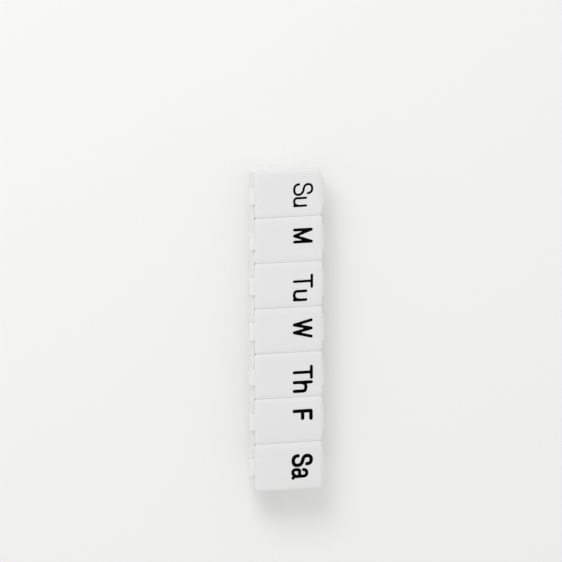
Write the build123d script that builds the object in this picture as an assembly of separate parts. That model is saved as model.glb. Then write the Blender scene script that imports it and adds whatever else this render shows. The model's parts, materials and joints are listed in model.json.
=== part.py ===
from build123d import *
import math
import os

# A small weekly pill organizer: a tray of seven round-bottomed cups in a row,
# with one lid to each cup. Tray, living hinges and lids are one polypropylene
# moulding, split here into the pieces that move apart when a lid is opened.
# +X runs along the row from Sunday to Saturday, -Y is the front, where the
# thumb tabs are, and +Z is up. The origin is the centre of the resting face.

DAYS = ("sunday", "monday", "tuesday", "wednesday", "thursday", "friday", "saturday")

# Tray, mm
PITCH = 18.7               # one lid joint to the next
BODY_WIDTH = 28.4          # front face to back face
RIM_HEIGHT = 19.2          # resting face to rim
END_MARGIN = 1.0           # tray beyond the outermost lid joint
WALL = 1.3
PARTITION = 1.2            # between two cups
FOOT_DEPTH = 0.5           # how far the round underside is cut flat
END_UPRIGHT = 1.0          # upright part of an end wall, under the rim
END_INSET = 8.0            # foot of an end wall, in from the rim
END_CORNER = 2.0           # upright corners, and the hips that run on under them
CUP_CORNER = 2.0           # upright corners inside each cup
RIM_BEVEL = 0.25

# Lids, mm
LID_THICKNESS = 1.4
LID_GAP = 0.3              # between neighbours
LID_SEAT_GAP = 0.1         # lid above the rim
LID_FRONT_SETBACK = 0.35   # behind the tray's front face
LID_BACK_SETBACK = 0.1     # in front of the tray's back face
LID_END_SETBACK = 0.3      # short of the tray's end
LID_CORNER = 1.0
LID_END_CORNER = 1.6       # outer corners of the first and last lid
LID_BEVEL = 0.6            # along the top edges
PLUG_DEPTH = 1.6           # rib that drops into the cup, below the rim
PLUG_WALL = 0.9
PLUG_CLEARANCE = 0.3

# Thumb tab and catch, mm
TAB_WIDTH = 7.0
TAB_REACH = 1.25           # beyond the tray's front face
TAB_DROP = 2.0             # below the rim
TAB_WALL = 0.7
TAB_ROUND = 1.1            # top front edge
TAB_CORNER = 1.0
NOSE_HEIGHT = 0.4          # inward nose at the foot of the tab
NOSE_CLEARANCE = 0.1       # nose to the crest of the bead as it passes
BEAD_LENGTH = 5.0
BEAD_PROUD = 0.25
BEAD_HEIGHT = 1.0
BEAD_BELOW_RIM = 1.0       # its crest

# Living hinge, mm
WEB_THICKNESS = 0.35
WEB_FOLD = 0.25            # inner radius of the folded web
WEB_LEG = 0.3              # straight part between the tray and the fold
WEB_ROOT = 12.6            # width where it joins the tray and the lid
WEB_CROWN = 10.4           # width at the fold

half_width = BODY_WIDTH / 2
half_length = len(DAYS) * PITCH / 2 + END_MARGIN
belly_height = half_width - FOOT_DEPTH
cup_half_width = half_width - WALL
end_drop = RIM_HEIGHT - END_UPRIGHT
end_radius = (END_INSET**2 + end_drop**2) / (2 * END_INSET)

lid_bottom = RIM_HEIGHT + LID_SEAT_GAP
lid_top = lid_bottom + LID_THICKNESS
lid_front = -half_width + LID_FRONT_SETBACK
lid_back = half_width - LID_BACK_SETBACK

fold_y = half_width + WEB_LEG
fold_z = RIM_HEIGHT


def joint_x(index):
    """Where one lid ends and the next begins; 0 is left of the first lid."""
    return (index - len(DAYS) / 2) * PITCH


def cup_middle(index):
    return (joint_x(index) + joint_x(index + 1)) / 2


def cup_span(index):
    """Inner faces of one cup along X."""
    start = joint_x(index) + PARTITION / 2
    end = joint_x(index + 1) - PARTITION / 2
    if index == 0:
        start = -half_length + WALL
    if index == len(DAYS) - 1:
        end = half_length - WALL
    return start, end


def lid_span(index):
    """Left and right edges of one lid."""
    start = joint_x(index) + LID_GAP / 2
    end = joint_x(index + 1) - LID_GAP / 2
    if index == 0:
        start = -half_length + LID_END_SETBACK
    if index == len(DAYS) - 1:
        end = half_length - LID_END_SETBACK
    return start, end


def trough(side, top, start, end):
    """Solid along X with upright sides and a half-round underside."""
    outline = Polyline((side, belly_height), (side, top), (-side, top), (-side, belly_height))
    outline += ThreePointArc((-side, belly_height), (0, belly_height - side), (side, belly_height))
    face = Plane.YZ * make_face(outline)
    return Pos(start, 0, 0) * extrude(face, amount=end - start, dir=(1, 0, 0))


def curved_ends(inset, top):
    """Slab across the tray whose ends drop upright, then curve in past the underside."""
    radius = end_radius - inset
    turn = math.degrees(math.asin((end_drop + 2 * FOOT_DEPTH) / radius))
    centre = half_length - end_radius
    right = CenterArc((centre, end_drop), radius, 0, -turn)
    left = CenterArc((-centre, end_drop), radius, 180, turn)
    outline = right + left + Line(right @ 1, left @ 1)
    outline += Polyline(left @ 0, ((left @ 0).X, top), ((right @ 0).X, top), right @ 0)
    return extrude(Plane.XZ * make_face(outline), amount=BODY_WIDTH, both=True)


def tray_outside():
    """Outer form, with its corners and hips rounded and its underside cut flat."""
    form = trough(half_width, RIM_HEIGHT, -half_length, half_length) & curved_ends(0, RIM_HEIGHT)
    form = fillet(form.edges().filter_by(lambda edge: edge.bounding_box().size.Z > RIM_BEVEL), END_CORNER)
    return split(form, bisect_by=Plane.XY, keep=Keep.TOP)


def cup(index):
    """Hollow of one cup, reaching a little above the rim."""
    above = RIM_HEIGHT + WALL
    start, end = cup_span(index)
    mouth = Pos((start + end) / 2, 0) * RectangleRounded(end - start, 2 * cup_half_width, CUP_CORNER)
    hollow = trough(cup_half_width, above, start, end) & extrude(mouth, amount=above)
    if index in (0, len(DAYS) - 1):
        hollow = hollow & curved_ends(WALL, above)
    return hollow


def catch_bead(index):
    """Bead on the front face that the lid's nose snaps under."""
    crest = RIM_HEIGHT - BEAD_BELOW_RIM
    face = -half_width
    outline = Polyline((face, crest + BEAD_HEIGHT / 2), (face + WALL / 2, crest + BEAD_HEIGHT / 2),
                       (face + WALL / 2, crest - BEAD_HEIGHT / 2), (face, crest - BEAD_HEIGHT / 2))
    outline += ThreePointArc((face, crest - BEAD_HEIGHT / 2), (face - BEAD_PROUD, crest),
                             (face, crest + BEAD_HEIGHT / 2))
    bead = extrude(Plane.YZ * make_face(outline), amount=BEAD_LENGTH / 2, both=True)
    return Pos(cup_middle(index), 0, 0) * bead


def tray():
    body = tray_outside()
    for index in range(len(DAYS)):
        body = body - cup(index)
    body = chamfer(body.edges().filter_by_position(Axis.Z, RIM_HEIGHT, RIM_HEIGHT), RIM_BEVEL)
    for index in range(len(DAYS)):
        body = body + catch_bead(index)
    return body


def lid_plate(index):
    """Flat plate with rounded corners and a bevel all along its top."""
    start, end = lid_span(index)
    outline = Pos((start + end) / 2, (lid_front + lid_back) / 2) * Rectangle(end - start, lid_back - lid_front)
    past_cups = half_length - WALL
    outline = fillet(outline.vertices().filter_by(lambda corner: abs(corner.X) < past_cups), LID_CORNER)
    end_corners = outline.vertices().filter_by(lambda corner: abs(corner.X) > past_cups)
    if end_corners:
        outline = fillet(end_corners, LID_END_CORNER)
    plate = Pos(0, 0, lid_bottom) * extrude(outline, amount=LID_THICKNESS)
    return chamfer(plate.edges().filter_by_position(Axis.Z, lid_top, lid_top), LID_BEVEL)


def lid_plug(index):
    """Rib that drops into the cup and keeps the lid in line."""
    start, end = cup_span(index)
    length = end - start - 2 * PLUG_CLEARANCE
    depth = 2 * (cup_half_width - PLUG_CLEARANCE)
    corner = CUP_CORNER - PLUG_CLEARANCE
    ring = RectangleRounded(length, depth, corner) - Rectangle(length - 2 * PLUG_WALL, depth - 2 * PLUG_WALL)
    return Pos((start + end) / 2, 0, RIM_HEIGHT - PLUG_DEPTH) * extrude(ring, amount=PLUG_DEPTH + LID_SEAT_GAP)


def thumb_tab(index):
    """Lip over the front face: a thumb lifts it, and its nose snaps under the bead."""
    tip = -half_width - TAB_REACH
    foot = RIM_HEIGHT - TAB_DROP
    inner = tip + TAB_WALL
    nose = -half_width - BEAD_PROUD - NOSE_CLEARANCE
    root = lid_front + LID_BEVEL
    outline = Polyline((root, lid_bottom), (root, lid_top), (tip + TAB_ROUND, lid_top))
    outline += TangentArc((tip + TAB_ROUND, lid_top), (tip, lid_top - TAB_ROUND), tangent=(-1, 0))
    outline += Polyline((tip, lid_top - TAB_ROUND), (tip, foot), (nose, foot), (nose, foot + NOSE_HEIGHT / 2),
                        (inner, foot + NOSE_HEIGHT), (inner, lid_bottom), (root, lid_bottom))
    side = extrude(Plane.YZ * make_face(outline), amount=TAB_WIDTH / 2, both=True)
    plan = Pos(0, (tip + root) / 2) * Rectangle(TAB_WIDTH, root - tip)
    plan = fillet(plan.vertices().filter_by(lambda corner: corner.Y < -half_width), TAB_CORNER)
    side = side & extrude(plan, amount=lid_top)
    return Pos(cup_middle(index), 0, 0) * side


def lid(index):
    return lid_plate(index) + thumb_tab(index) + lid_plug(index)


def hinge_web(index):
    """Thin web folded back on itself behind the closed lid, wider at its roots."""
    outer = WEB_FOLD + WEB_THICKNESS
    outline = Polyline((half_width, fold_z - WEB_FOLD), (half_width, fold_z - outer), (fold_y, fold_z - outer))
    outline += ThreePointArc((fold_y, fold_z - outer), (fold_y + outer, fold_z), (fold_y, fold_z + outer))
    outline += Polyline((fold_y, fold_z + outer), (lid_back, fold_z + outer), (lid_back, fold_z + WEB_FOLD),
                        (fold_y, fold_z + WEB_FOLD))
    outline += ThreePointArc((fold_y, fold_z + WEB_FOLD), (fold_y + WEB_FOLD, fold_z),
                             (fold_y, fold_z - WEB_FOLD))
    outline += Line((fold_y, fold_z - WEB_FOLD), (half_width, fold_z - WEB_FOLD))
    strap = extrude(Plane.YZ * make_face(outline), amount=WEB_ROOT / 2, both=True)
    crown = fold_y + outer
    waist = Polyline((-WEB_CROWN / 2, crown), (WEB_CROWN / 2, crown), (WEB_ROOT / 2, lid_back),
                     (-WEB_ROOT / 2, lid_back), (-WEB_CROWN / 2, crown))
    strap = strap & extrude(make_face(waist), amount=RIM_HEIGHT + LID_THICKNESS)
    return Pos(cup_middle(index), 0, 0) * strap


def hinge_line():
    """Y and Z of the line that a lid turns about: halfway along its web, when that lies flat."""
    web_length = 2 * WEB_LEG + LID_BACK_SETBACK + math.pi * (WEB_FOLD + WEB_THICKNESS / 2)
    return (half_width + lid_back + web_length) / 2, fold_z


os.makedirs("parts", exist_ok=True)
export_step(tray(), "parts/tray.step")
for index, day in enumerate(DAYS):
    export_step(lid(index), f"parts/lid_{day}.step")
    export_step(hinge_web(index), f"parts/hinge_{day}.step")
print("Lids turn about the line at Y {:.3f} and Z {:.3f} mm.".format(*hinge_line()))
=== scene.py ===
import bmesh
import bpy
import json
import math
from mathutils import Matrix, Vector


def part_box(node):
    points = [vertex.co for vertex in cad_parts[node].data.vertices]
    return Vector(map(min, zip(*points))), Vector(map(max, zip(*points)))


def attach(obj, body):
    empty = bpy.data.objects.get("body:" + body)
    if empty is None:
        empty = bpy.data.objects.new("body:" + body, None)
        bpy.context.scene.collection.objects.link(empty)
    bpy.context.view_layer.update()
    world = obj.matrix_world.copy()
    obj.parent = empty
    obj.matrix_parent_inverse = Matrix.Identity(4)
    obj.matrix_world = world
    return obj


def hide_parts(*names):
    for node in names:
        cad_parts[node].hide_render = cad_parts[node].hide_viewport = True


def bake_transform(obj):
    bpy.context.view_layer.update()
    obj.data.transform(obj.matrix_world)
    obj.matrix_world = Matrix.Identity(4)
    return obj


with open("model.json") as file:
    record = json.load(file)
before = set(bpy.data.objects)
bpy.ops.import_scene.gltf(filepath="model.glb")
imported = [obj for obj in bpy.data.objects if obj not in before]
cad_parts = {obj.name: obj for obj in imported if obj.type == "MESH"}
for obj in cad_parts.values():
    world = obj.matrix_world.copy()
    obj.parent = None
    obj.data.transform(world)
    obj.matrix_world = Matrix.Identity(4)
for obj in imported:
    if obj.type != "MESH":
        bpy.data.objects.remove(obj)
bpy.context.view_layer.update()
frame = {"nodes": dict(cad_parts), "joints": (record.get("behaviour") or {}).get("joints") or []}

# A small weekly pill organizer in white polypropylene: a tray of seven cups,
# seven snap lids with printed weekday marks, and the thin webs they hinge on.
# +X runs along the row from Sunday to Saturday, -Y is the front, +Z is up.

MM = 0.001
SAME_PLACE = 0.01 * MM          # places nearer to each other than this count as one
CUT_TOLERANCE = 0.001 * MM

# Segments that round an edge
CORNER_SEGMENTS = 8             # the plate's corners, and the tab's top where a thumb meets it
INNER_SEGMENTS = 6              # the rib's corners and the lower ones of the tab
ROLL_SEGMENTS = 5               # the plate's rolled edge and its undercut
FOOT_SEGMENTS = 3               # the rib's foot
FINE_SEGMENTS = 2               # small edges of the tab and its nose

# Lid plate: its edges roll over, and its top falls away a little before them
PLATE_FRONT = -13.85 * MM
PLATE_FOOT = 19.3 * MM
PLATE_REACH = 0.145 * MM        # further out than the solid, into the gap between neighbours
PLATE_CORNER = 1.0 * MM
ROW_END_CORNER = 1.6 * MM       # outer corners of the first and last lid
PLATE_UNDERCUT = 0.7 * MM       # rounding under its edge, which leaves a fine shadow above the tray
EDGE_ROLL = 0.14 * MM
PILLOW_WIDTH = 3.6 * MM         # the band along its edges in which the top falls away
PILLOW_FALL = 0.37 * MM
PILLOW_POWER = 3                # the higher, the closer to the edge the fall stays
PILLOW_RINGS = 8

# Rib under the lid
RIB_FOOT = 17.6 * MM
RIB_WALL = 0.9 * MM
RIB_HALF_DEPTH = 12.6 * MM
RIB_CORNER = 1.7 * MM
RIB_ROUND = 0.24 * MM           # along its foot
RIB_INDENT = 0.75 * MM          # in from the plate's edge beside another lid
RIB_END_INDENT = 1.3 * MM       # in from the plate's edge at the row's end
RIB_ROOT = 0.24 * MM            # how far it reaches up into the plate
RIB_CEILING = 0.02 * MM         # its hollow ends this far below the plate's foot

# Thumb tab
TAB_WIDTH = 7.0 * MM
TAB_WALL = 0.7 * MM
TAB_STEP = 0.2 * MM             # its top below the plate's top
TAB_LAP = 1.0 * MM              # how far back into the plate it reaches
TAB_CEILING = 0.03 * MM         # its underside above the plate's foot
TAB_ROUND = 1.0 * MM
TAB_CORNER = 1.0 * MM
TAB_EDGE = 0.15 * MM            # along the edges that are still sharp after the larger rounds
TAB_SHARP = math.radians(50)
NOSE_TIP = -14.55 * MM
NOSE_FOOT = 0.12 * MM           # its underside above the tab's foot
NOSE_HEIGHT = 0.4 * MM          # its top above the tab's foot
NOSE_ROUND = 0.096 * MM

COVER_SHARP = math.radians(40)  # a finished lid's edges that turn by more than this stay crisp

# Living hinge
WEB_THICKNESS = 0.35 * MM
WEB_CROWN_WIDTH = 10.4 * MM
WEB_COLUMNS = 12
FOLD_STEPS = 16

# Printed letters as strokes in a box one wide and one high: two points are a
# straight stroke, and more are the control points of a smooth one
STROKES = {
    "S": (((0.9, 0.76), (0.88, 1.0), (0.02, 1.0), (-0.02, 0.58),
           (1.02, 0.47), (1.02, 0.0), (0.0, 0.0), (-0.02, 0.27)),),
    "u": (((0.0, 1.0), (0.0, 0.5), (0.0, 0.0), (0.95, 0.0), (1.0, 0.5)),
          ((1.0, 1.0), (1.0, 0.0))),
    "M": (((0.0, 0.0), (0.0, 1.0)), ((0.0, 1.0), (0.5, 0.0)),
          ((0.5, 0.0), (1.0, 1.0)), ((1.0, 1.0), (1.0, 0.0))),
    "T": (((0.0, 1.0), (1.0, 1.0)), ((0.5, 1.0), (0.5, 0.0))),
    "W": (((0.0, 1.0), (0.26, 0.0)), ((0.26, 0.0), (0.5, 1.0)),
          ((0.5, 1.0), (0.74, 0.0)), ((0.74, 0.0), (1.0, 1.0))),
    "h": (((0.0, 1.0), (0.0, 0.0)),
          ((0.0, 0.35), (0.05, 0.68), (1.0, 0.68), (1.0, 0.4), (1.0, 0.0))),
    "F": (((0.0, 0.0), (0.0, 1.0)), ((0.0, 1.0), (1.0, 1.0)), ((0.0, 0.5), (0.95, 0.5))),
    "a": (((0.0, 0.8), (0.04, 1.04), (0.8, 1.04), (0.8, 0.5), (0.8, 0.0), (1.0, 0.0)),
          ((0.8, 0.5), (0.45, 0.5), (-0.04, 0.5), (-0.04, -0.02), (0.62, -0.02), (0.8, 0.28))),
}
# Each weekday's mark, mm: its distance from the joint before it and behind the middle
# of the lid, then its letters with their width, height and stroke width
MARKS = {
    "sunday": (5.03, 2.0, (("S", 5.1, 8.4, 0.97), ("u", 4.15, 5.85, 0.95))),
    "monday": (4.86, 2.0, (("M", 6.2, 8.25, 1.25),)),
    "tuesday": (5.15, 1.9, (("T", 5.9, 8.45, 1.1), ("u", 4.75, 6.1, 1.16))),
    "wednesday": (4.93, 1.9, (("W", 8.0, 8.3, 1.28),)),
    "thursday": (5.45, 1.85, (("T", 5.9, 8.45, 1.28), ("h", 4.98, 8.45, 1.38))),
    "friday": (5.0, 1.8, (("F", 4.7, 8.45, 1.5),)),
    "saturday": (4.9, 1.35, (("S", 5.35, 9.0, 1.52), ("a", 4.75, 6.85, 1.38))),
}
LETTER_GAP = 0.5 * MM
INK_FILM = 0.04 * MM
INK_CELL = 0.12 * MM            # the grid on which the strokes of a mark run together
STROKE_ORDER = 3
STROKE_RESOLUTION = 2
STROKE_END_SEGMENTS = 12
STROKE_END_RINGS = 8

# Patterns of the materials, mm: about how far apart they repeat, and how deep they are
FLOW_SIZE = 24
GLOSS_SIZE = 5
SINK_SIZE = 9
SINK_DEPTH = 0.05
GRAIN_DEPTH = 0.02
INK_COVER_SIZE = 1.2
GLOSS_SWING = 0.04              # of the roughness, up and down
LIGHT_REACH = 0.6 * MM          # how far light spreads under the plastic's surface

# Surroundings
FLOOR_SIZE = 3.0
FLOOR_DROP = 0.02 * MM          # keeps the floor clear of the tray's foot
SKY_LIGHT = 0.754               # what falls on the tray
SKY_SEEN = 0.95                 # what is seen and mirrored
KEY_PLACE = (-0.9, -0.5, 0.95)
KEY_SIZE = 0.6
KEY_WATTS = 6.9

# The photograph: its side, where the middle of the resting face lies in it, and its scale
IMAGE_SIDE = 562
ORIGIN_X = 275.47
ORIGIN_Y = 319.14
PIXELS_PER_MM = 2.481
CAMERA_TURN = math.radians(14.4)       # towards the front of the tray
CAMERA_TILT = math.radians(13.0)       # towards the Sunday end
CAMERA_DISTANCE = 5.0                  # from the lids, where the scale is read
LID_LEVEL = 19.6 * MM                  # how much nearer than the resting face they are
CAMERA_REACH = 20.0
SENSOR = 36.0


def linear(colour):
    """An sRGB hex colour as linear red, green, blue and alpha."""
    parts = [int(colour[place:place + 2], 16) / 255 for place in (1, 3, 5)]
    return [part / 12.92 if part <= 0.04045 else ((part + 0.055) / 1.055) ** 2.4
            for part in parts] + [1.0]


def add(tree, kind, inputs, **properties):
    """A new node with its properties, and its inputs set to values or linked from sockets."""
    node = tree.nodes.new(kind)
    for name, value in properties.items():
        setattr(node, name, value)
    for name, value in inputs.items():
        if isinstance(value, bpy.types.NodeSocket):
            tree.links.new(value, node.inputs[name])
        else:
            node.inputs[name].default_value = value
    return node


def empty_material(name):
    material = bpy.data.materials.new(name)
    material.use_nodes = True
    material.node_tree.nodes.clear()
    return material, material.node_tree


def per_mm(size):
    """A noise scale whose pattern repeats about every size millimetres."""
    return 1 / (size * MM)


def moulded_polypropylene(name, light, shade, grain, roughness):
    """White polypropylene straight from a satin mould: soft gloss, a fine even grain, faint flow
    shading, and a little light let through, which fills narrow gaps and thin edges. The mould's
    grain is too fine to show, so it is drawn several times as coarse as it is."""
    material, tree = empty_material(name)
    place = add(tree, "ShaderNodeTexCoord", {}).outputs["Object"]
    flow = add(tree, "ShaderNodeTexNoise", {"Vector": place, "Scale": per_mm(FLOW_SIZE), "Detail": 2.0})
    colour = add(tree, "ShaderNodeMix", {
        "Factor": flow.outputs["Fac"], "A": linear(light), "B": linear(shade)}, data_type="RGBA")
    patches = add(tree, "ShaderNodeTexNoise", {
        "Vector": place, "Scale": per_mm(GLOSS_SIZE), "Detail": 3.0})
    gloss = add(tree, "ShaderNodeMapRange", {
        "Value": patches.outputs["Fac"], "From Min": 0.3, "From Max": 0.7,
        "To Min": roughness - GLOSS_SWING, "To Max": roughness + GLOSS_SWING})
    sink = add(tree, "ShaderNodeTexNoise", {"Vector": place, "Scale": per_mm(SINK_SIZE), "Detail": 1.0})
    sunk = add(tree, "ShaderNodeBump", {
        "Height": sink.outputs["Fac"], "Strength": 0.5, "Distance": SINK_DEPTH * MM})
    sparks = add(tree, "ShaderNodeTexNoise", {"Vector": place, "Scale": per_mm(grain), "Detail": 2.0})
    skin = add(tree, "ShaderNodeBump", {
        "Height": sparks.outputs["Fac"], "Strength": 0.35, "Distance": GRAIN_DEPTH * MM,
        "Normal": sunk.outputs["Normal"]})
    shader = add(tree, "ShaderNodeBsdfPrincipled", {
        "Base Color": colour.outputs["Result"], "Roughness": gloss.outputs["Result"],
        "Normal": skin.outputs["Normal"], "IOR": 1.49, "Subsurface Weight": 0.8,
        "Subsurface Radius": (1.0, 0.97, 0.94), "Subsurface Scale": LIGHT_REACH})
    add(tree, "ShaderNodeOutputMaterial", {"Surface": shader.outputs["BSDF"]})
    return material


def pad_printed_ink():
    """Matt black ink from a printing pad: thin, and a little uneven in cover."""
    material, tree = empty_material("pad_printed_ink")
    place = add(tree, "ShaderNodeTexCoord", {}).outputs["Object"]
    cover = add(tree, "ShaderNodeTexNoise", {
        "Vector": place, "Scale": per_mm(INK_COVER_SIZE), "Detail": 4.0})
    colour = add(tree, "ShaderNodeMix", {
        "Factor": cover.outputs["Fac"], "A": linear("#010101"), "B": linear("#080809")},
        data_type="RGBA")
    skin = add(tree, "ShaderNodeBump", {
        "Height": cover.outputs["Fac"], "Strength": 0.2, "Distance": GRAIN_DEPTH * MM})
    shader = add(tree, "ShaderNodeBsdfPrincipled", {
        "Base Color": colour.outputs["Result"], "Roughness": 0.6, "IOR": 1.08,
        "Normal": skin.outputs["Normal"]})
    add(tree, "ShaderNodeOutputMaterial", {"Surface": shader.outputs["BSDF"]})
    return material


def pale_board():
    """Matt painted board, pale and without gloss, so that it shows only the soft shadow."""
    material, tree = empty_material("matt_painted_board")
    shader = add(tree, "ShaderNodeBsdfPrincipled", {"Base Color": linear("#F3F3F2"), "Roughness": 0.9})
    add(tree, "ShaderNodeOutputMaterial", {"Surface": shader.outputs["BSDF"]})
    return material


def finish_mesh(shape, name, material):
    """A bmesh as an object with smooth faces and one material."""
    for face in shape.faces:
        face.smooth = True
    mesh = bpy.data.meshes.new(name)
    shape.to_mesh(mesh)
    shape.free()
    mesh.materials.append(material)
    piece = bpy.data.objects.new(name, mesh)
    bpy.context.scene.collection.objects.link(piece)
    return piece


def with_modifiers(piece):
    """The bmesh that an object's modifiers make of it; the object goes."""
    shape = bmesh.new()
    shape.from_object(piece, bpy.context.evaluated_depsgraph_get())
    bpy.data.meshes.remove(piece.data)
    return shape


def fuse(whole, part):
    """Two closed forms as one skin, without the walls that would be left inside."""
    pieces = []
    for form in (whole, part):
        bmesh.ops.recalc_face_normals(form, faces=form.faces[:])
        pieces.append(finish_mesh(form, "form", None))
    union = pieces[0].modifiers.new("union", "BOOLEAN")
    union.operation = "UNION"
    union.object = pieces[1]
    fused = with_modifiers(pieces[0])
    bpy.data.meshes.remove(pieces[1].data)
    return fused


def block(low, high):
    """Block between two corners."""
    shape = bmesh.new()
    size = Vector(high) - Vector(low)
    bmesh.ops.create_cube(shape, size=1.0, matrix=Matrix.Translation((Vector(low) + Vector(high)) / 2)
                          @ Matrix.Diagonal((*size, 1.0)))
    return shape


def of_kind(parts, kind):
    """The vertices, or the edges, among the parts that an operator gives back."""
    return [part for part in parts if isinstance(part, kind)]


def round_off(shape, edges, radius, segments):
    """Rounds the given edges."""
    bmesh.ops.bevel(shape, geom=edges, offset=radius, offset_type="OFFSET", segments=segments,
                    profile=0.5, affect="EDGES", clamp_overlap=True, material=-1)


def round_edges(shape, choose, radius, segments):
    """Rounds the edges that a test on their two ends picks out."""
    edges = [edge for edge in shape.edges if choose(edge.verts[0].co, edge.verts[1].co)]
    round_off(shape, edges, radius, segments)


def upright(one, other):
    """Test for edges that run straight up for more than a millimetre."""
    return (abs(one.z - other.z) > MM
            and abs(one.x - other.x) < SAME_PLACE and abs(one.y - other.y) < SAME_PLACE)


def at_height(height):
    """Test for edges that lie at one height."""
    return lambda one, other: abs(one.z - height) < SAME_PLACE and abs(other.z - height) < SAME_PLACE


def cut(shape, place, normal):
    """Adds a line of edges where a plane crosses the shape."""
    bmesh.ops.bisect_plane(shape, geom=shape.verts[:] + shape.edges[:] + shape.faces[:],
                           dist=CUT_TOLERANCE, plane_co=place, plane_no=normal)


def lid_plate(day, low, high, middle):
    """Plate with rolled edges whose top falls away softly towards them."""
    top = high.z - INK_FILM / 2
    left = low.x - (0 if day == "sunday" else PLATE_REACH)
    right = high.x + (0 if day == "saturday" else PLATE_REACH)
    shape = block((left, PLATE_FRONT, PLATE_FOOT), (right, high.y, top))
    for side, radius in ((left, ROW_END_CORNER if day == "sunday" else PLATE_CORNER),
                         (right, ROW_END_CORNER if day == "saturday" else PLATE_CORNER)):
        round_edges(shape, lambda one, other: upright(one, other) and abs(one.x - side) < SAME_PLACE,
                    radius, CORNER_SEGMENTS)
    round_edges(shape, at_height(top), EDGE_ROLL, ROLL_SEGMENTS)
    round_edges(shape, at_height(PLATE_FOOT), PLATE_UNDERCUT, ROLL_SEGMENTS)
    for ring in range(PILLOW_RINGS + 1):
        inset = EDGE_ROLL + (PILLOW_WIDTH - EDGE_ROLL) * ring / PILLOW_RINGS
        cut(shape, (left + inset, 0, 0), (1, 0, 0))
        cut(shape, (right - inset, 0, 0), (1, 0, 0))
        cut(shape, (0, PLATE_FRONT + inset, 0), (0, 1, 0))
        cut(shape, (0, high.y - inset, 0), (0, 1, 0))
    # Two more lines beside the tab keep the faces that meet it short, so that they shade evenly
    for side in (-1, 1):
        cut(shape, (middle + side * (TAB_WIDTH / 2 + TAB_EDGE), 0, 0), (1, 0, 0))
    for vertex in shape.verts:
        if vertex.co.z > (PLATE_FOOT + top) / 2:
            across = max(0, 1 - min(vertex.co.x - left, right - vertex.co.x) / PILLOW_WIDTH)
            along = max(0, 1 - min(vertex.co.y - PLATE_FRONT, high.y - vertex.co.y) / PILLOW_WIDTH)
            vertex.co.z -= PILLOW_FALL * (across ** PILLOW_POWER + along ** PILLOW_POWER)
    return shape


def lid_rib(day, low, high):
    """Hollow rib under the plate that drops into the cup."""
    left = low.x + (RIB_END_INDENT if day == "sunday" else RIB_INDENT)
    right = high.x - (RIB_END_INDENT if day == "saturday" else RIB_INDENT)
    shape = block((left, -RIB_HALF_DEPTH, RIB_FOOT), (right, RIB_HALF_DEPTH, PLATE_FOOT + RIB_ROOT))
    round_edges(shape, upright, RIB_CORNER, INNER_SEGMENTS)
    face = min(shape.faces, key=lambda face: face.normal.z * face.calc_area())
    bmesh.ops.inset_region(shape, faces=[face], thickness=RIB_WALL, use_even_offset=True)
    walls = bmesh.ops.extrude_face_region(shape, geom=[face])["geom"]
    bmesh.ops.delete(shape, geom=[face], context="FACES_ONLY")
    bmesh.ops.translate(shape, verts=of_kind(walls, bmesh.types.BMVert),
                        vec=(0, 0, PLATE_FOOT - RIB_FOOT - RIB_CEILING))
    round_edges(shape, at_height(RIB_FOOT), RIB_ROUND, FOOT_SEGMENTS)
    return shape


def thumb_tab(low, high, middle):
    """Lip over the front face, rounded where a thumb meets it, with a nose inside its foot."""
    tip = low.y
    inner = tip + TAB_WALL
    left = middle - TAB_WIDTH / 2
    top = high.z - TAB_STEP
    root = PLATE_FRONT + TAB_LAP
    ceiling = PLATE_FOOT + TAB_CEILING
    outline = ((root, ceiling), (root, top), (tip, top), (tip, low.z), (inner, low.z), (inner, ceiling))
    lip = bmesh.new()
    side = lip.faces.new([lip.verts.new((left, y, z)) for y, z in outline])
    swept = bmesh.ops.extrude_face_region(lip, geom=[side])["geom"]
    bmesh.ops.translate(lip, verts=of_kind(swept, bmesh.types.BMVert), vec=(TAB_WIDTH, 0, 0))
    bmesh.ops.recalc_face_normals(lip, faces=lip.faces[:])
    round_edges(lip, lambda one, other: max(one.y, other.y) < tip + SAME_PLACE
                and min(one.z, other.z) > top - SAME_PLACE, TAB_ROUND, CORNER_SEGMENTS)
    round_edges(lip, lambda one, other: max(one.z, other.z) < low.z + SAME_PLACE
                and abs(one.x - other.x) < SAME_PLACE, TAB_CORNER, INNER_SEGMENTS)
    sharp = [edge for edge in lip.edges if edge.calc_face_angle(0) > TAB_SHARP]
    round_off(lip, sharp, TAB_EDGE, FINE_SEGMENTS)
    nose = block((left + TAB_CORNER, inner - TAB_WALL / 2, low.z + NOSE_FOOT),
                 (left + TAB_WIDTH - TAB_CORNER, NOSE_TIP, low.z + NOSE_HEIGHT))
    round_edges(nose, lambda one, other: min(one.y, other.y) > NOSE_TIP - SAME_PLACE,
                NOSE_ROUND, FINE_SEGMENTS)
    return fuse(lip, nose)


def lid(day, middle):
    """One lid: plate, rib and thumb tab."""
    low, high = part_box("lid_" + day)
    plate_and_rib = fuse(lid_plate(day, low, high, middle), lid_rib(day, low, high))
    shape = fuse(plate_and_rib, thumb_tab(low, high, middle))
    cover = finish_mesh(shape, "cover_" + day, lid_plastic)
    cover.data.set_sharp_from_angle(angle=COVER_SHARP)
    cover.modifiers.new("flat_faces_stay_flat", "WEIGHTED_NORMAL")
    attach(cover, day + "_lid")
    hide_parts("lid_" + day)


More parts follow.
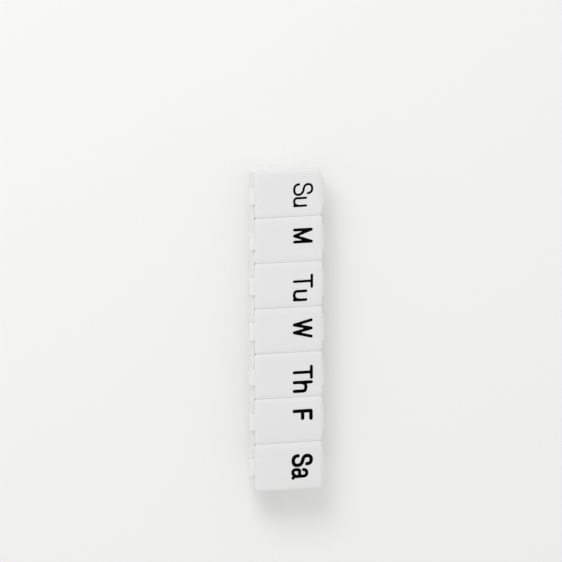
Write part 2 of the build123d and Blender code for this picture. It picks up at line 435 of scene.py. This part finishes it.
def letter(shape, character, left, foot, width, height, weight):
    """Adds one letter to a bmesh as round strokes."""
    path = bpy.data.curves.new("stroke", "CURVE")
    path.dimensions = "3D"
    path.bevel_depth = weight / 2
    path.bevel_resolution = STROKE_RESOLUTION
    path.use_fill_caps = True
    for stroke in STROKES[character]:
        points = [Vector((left + weight / 2 + x * (width - weight),
                          foot + weight / 2 + y * (height - weight), 0)) for x, y in stroke]
        spline = path.splines.new("NURBS")
        spline.points.add(len(points) - 1)
        for point, place in zip(spline.points, points):
            point.co = (*place, 1)
        spline.order_u = min(STROKE_ORDER, len(points))
        spline.use_endpoint_u = True
        for place in (points[0], points[-1]):
            bmesh.ops.create_uvsphere(shape, u_segments=STROKE_END_SEGMENTS, v_segments=STROKE_END_RINGS,
                                      radius=weight / 2, matrix=Matrix.Translation(place))
    carrier = bpy.data.objects.new("stroke", path)
    mesh = bpy.data.meshes.new_from_object(carrier)
    shape.from_mesh(mesh)
    bpy.data.objects.remove(carrier)
    bpy.data.meshes.remove(mesh)


def printed_mark(day, middle):
    """The weekday's letters on its lid, flattened to a film of ink."""
    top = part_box("lid_" + day)[1].z
    indent, foot, letters = MARKS[day]
    shape = bmesh.new()
    left = middle - pitch / 2 + indent * MM
    for character, width, height, weight in letters:
        letter(shape, character, left, foot * MM, width * MM, height * MM, weight * MM)
        left += width * MM + LETTER_GAP
    strokes = finish_mesh(shape, "strokes", ink)
    skin = strokes.modifiers.new("skin", "REMESH")
    skin.mode = "VOXEL"
    skin.voxel_size = INK_CELL
    shape = with_modifiers(strokes)
    thickness = 2 * max(vertex.co.z for vertex in shape.verts)
    bmesh.ops.scale(shape, verts=shape.verts[:], vec=(1, 1, INK_FILM / thickness))
    bmesh.ops.translate(shape, verts=shape.verts[:], vec=(0, 0, top - INK_FILM / 2))
    mark = finish_mesh(shape, "mark_" + day, ink)
    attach(mark, day + "_lid")


def hinge_web(day, middle):
    """Thin web that leaves the tray, folds back on itself and joins the lid."""
    low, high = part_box("hinge_" + day)
    half_height = (high.z - low.z) / 2
    fold = Vector((middle, high.y - half_height, low.z + half_height))
    tray_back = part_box("tray")[1].y
    lid_back = low.y
    root_width = high.x - low.x
    shape = bmesh.new()
    columns = [shape.verts.new((middle + root_width * (step / WEB_COLUMNS - 0.5),
                                tray_back - WEB_THICKNESS, low.z)) for step in range(WEB_COLUMNS + 1)]
    edges = [shape.edges.new(pair) for pair in zip(columns, columns[1:])]
    leg = bmesh.ops.extrude_edge_only(shape, edges=edges)["geom"]
    bmesh.ops.translate(shape, verts=of_kind(leg, bmesh.types.BMVert),
                        vec=(0, fold.y - tray_back + WEB_THICKNESS, 0))
    edges = [edge for edge in of_kind(leg, bmesh.types.BMEdge)
             if all(abs(vertex.co.y - fold.y) < SAME_PLACE for vertex in edge.verts)]
    turned = bmesh.ops.spin(shape, geom=edges, cent=fold, axis=(1, 0, 0), angle=math.pi,
                            steps=FOLD_STEPS, use_merge=False)["geom_last"]
    leg = bmesh.ops.extrude_edge_only(shape, edges=of_kind(turned, bmesh.types.BMEdge))["geom"]
    bmesh.ops.translate(shape, verts=of_kind(leg, bmesh.types.BMVert),
                        vec=(0, lid_back - WEB_THICKNESS - fold.y, 0))
    for vertex in shape.verts:
        out = max(0, (vertex.co.y - lid_back) / (high.y - lid_back))
        vertex.co.x = middle + (vertex.co.x - middle) * (1 - out * (1 - WEB_CROWN_WIDTH / root_width))
    bmesh.ops.recalc_face_normals(shape, faces=shape.faces[:])
    bmesh.ops.solidify(shape, geom=shape.faces[:], thickness=WEB_THICKNESS)
    web = finish_mesh(shape, "web_" + day, web_plastic)
    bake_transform(web)
    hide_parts("hinge_" + day)


def floor():
    """A plain board under the tray."""
    shape = bmesh.new()
    bmesh.ops.create_grid(shape, x_segments=1, y_segments=1, size=FLOOR_SIZE)
    board = finish_mesh(shape, "floor", pale_board())
    board.data.transform(Matrix.Translation((0, 0, -FLOOR_DROP)))


def daylight():
    """Even pale surroundings, paler where they are seen or mirrored than as light on the tray."""
    world = bpy.data.worlds.new("surroundings")
    bpy.context.scene.world = world
    world.use_nodes = True
    world.node_tree.nodes.clear()
    tree = world.node_tree
    path = add(tree, "ShaderNodeLightPath", {})
    seen = add(tree, "ShaderNodeMath", {0: path.outputs["Is Camera Ray"], 1: path.outputs["Is Glossy Ray"]})
    seen = add(tree, "ShaderNodeMath", {0: seen.outputs["Value"], 1: path.outputs["Is Transmission Ray"]})
    strength = add(tree, "ShaderNodeMapRange", {
        "Value": seen.outputs["Value"], "To Min": SKY_LIGHT, "To Max": SKY_SEEN})
    sky = add(tree, "ShaderNodeBackground", {
        "Color": linear("#FFFFFF"), "Strength": strength.outputs["Result"]})
    add(tree, "ShaderNodeOutputWorld", {"Surface": sky.outputs["Background"]})


def key_lamp():
    """A soft square lamp, high beyond the Sunday end, that faces the middle of the tray."""
    lamp = bpy.data.lights.new("key", "AREA")
    lamp.size = KEY_SIZE
    lamp.energy = KEY_WATTS
    carrier = bpy.data.objects.new("key", lamp)
    carrier.location = KEY_PLACE
    carrier.rotation_euler = (-Vector(KEY_PLACE)).to_track_quat("-Z", "Y").to_euler()
    bpy.context.scene.collection.objects.link(carrier)


def camera():
    """Looks down at the lids with the Sunday end at the top, as the photograph does."""
    towards = Vector((-math.sin(CAMERA_TILT), -math.sin(CAMERA_TURN) * math.cos(CAMERA_TILT),
                      math.cos(CAMERA_TURN) * math.cos(CAMERA_TILT)))
    up = (Vector((-1, 0, 0)) - towards * -towards.x).normalized()
    right = up.cross(towards)
    scale = PIXELS_PER_MM / MM
    target = (right * (IMAGE_SIDE / 2 - ORIGIN_X) + up * (ORIGIN_Y - IMAGE_SIDE / 2)) / scale
    lens = bpy.data.cameras.new("camera")
    lens.sensor_width = SENSOR
    lens.lens = SENSOR * CAMERA_DISTANCE * scale / IMAGE_SIDE
    lens.clip_end = CAMERA_REACH
    eye = bpy.data.objects.new("camera", lens)
    turn = Matrix((right, up, towards)).transposed().to_4x4()
    eye.matrix_world = Matrix.Translation(target + towards * (CAMERA_DISTANCE + LID_LEVEL)) @ turn
    bpy.context.scene.collection.objects.link(eye)
    bpy.context.scene.camera = eye


tray_plastic = moulded_polypropylene("moulded_polypropylene_tray", light="#E9E9E9", shade="#E5E5E5",
                                     grain=0.35, roughness=0.42)
lid_plastic = moulded_polypropylene("moulded_polypropylene_lid", light="#E9E9E9", shade="#E5E5E5",
                                    grain=0.3, roughness=0.4)
web_plastic = moulded_polypropylene("flexed_polypropylene_web", light="#EDEDED", shade="#E8E8E8",
                                    grain=0.4, roughness=0.45)
ink = pad_printed_ink()

middles = {joint["name"].removesuffix("_hinge"): joint["pos_m"][0] for joint in frame["joints"]}
pitch = middles["tuesday"] - middles["monday"]

frame["nodes"]["tray"].data.materials.clear()
frame["nodes"]["tray"].data.materials.append(tray_plastic)
for day, middle in middles.items():
    lid(day, middle)
    printed_mark(day, middle)
    hinge_web(day, middle)

floor()
daylight()
key_lamp()
camera()
bpy.context.scene.view_settings.view_transform = "Standard"
